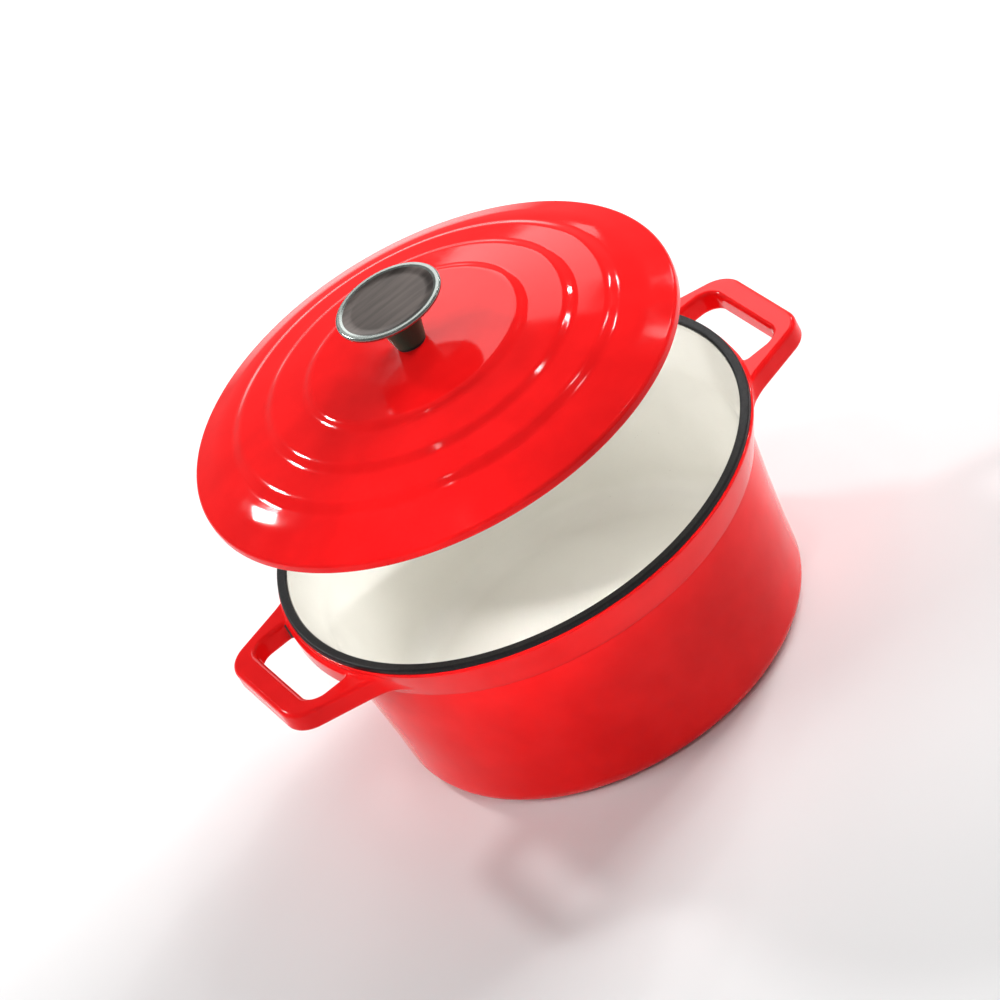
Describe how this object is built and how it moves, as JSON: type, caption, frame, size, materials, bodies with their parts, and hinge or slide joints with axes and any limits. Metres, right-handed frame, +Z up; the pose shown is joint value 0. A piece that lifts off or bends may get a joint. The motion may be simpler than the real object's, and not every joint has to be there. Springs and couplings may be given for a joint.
{
  "type": "cast iron dutch oven",
  "caption": "Round enamelled cast iron pot with two loop handles and a ringed, domed lid that lifts off by a flat steel knob.",
  "frame": {"origin": "centre of the base, on the plane that the pot stands on", "axes": "+Z up through the pot and the knob, +X through the two loop handles; the lid is held above the pot"},
  "size_m": [0.3164, 0.2518, 0.238],
  "materials": {
    "red_enamel": "gloss",
    "cream_enamel": "gloss",
    "black_ground_coat": "satin",
    "ground_iron": "matte",
    "brushed_knob_steel": "brushed",
    "knob_steel": "polished",
    "insert_steel": "satin",
    "fastener_steel": "satin",
    "silicone": "matte"
  },
  "bodies": {
    "pot": {"pot_casting": "ground_iron", "pot_outer_enamel": "red_enamel", "pot_inner_enamel": "cream_enamel", "pot_rim_coat": "black_ground_coat"},
    "lid": {"lid_casting": "ground_iron", "lid_top_enamel": "red_enamel", "lid_inner_enamel": "cream_enamel", "lid_rim_coat": "black_ground_coat", "knob_gasket": "silicone", "knob_stem": "knob_steel", "knob_insert": "insert_steel", "knob_cap": "brushed_knob_steel", "flat_washer": "fastener_steel", "spring_washer": "fastener_steel", "lid_screw": "fastener_steel"}
  },
  "joints": [
    {"name": "lid_lift", "type": "slide", "parent": "pot", "child": "lid", "axis": [-0.0904, 0, 0.9959], "range_m": [-0.0697, 0.05]}
  ]
}
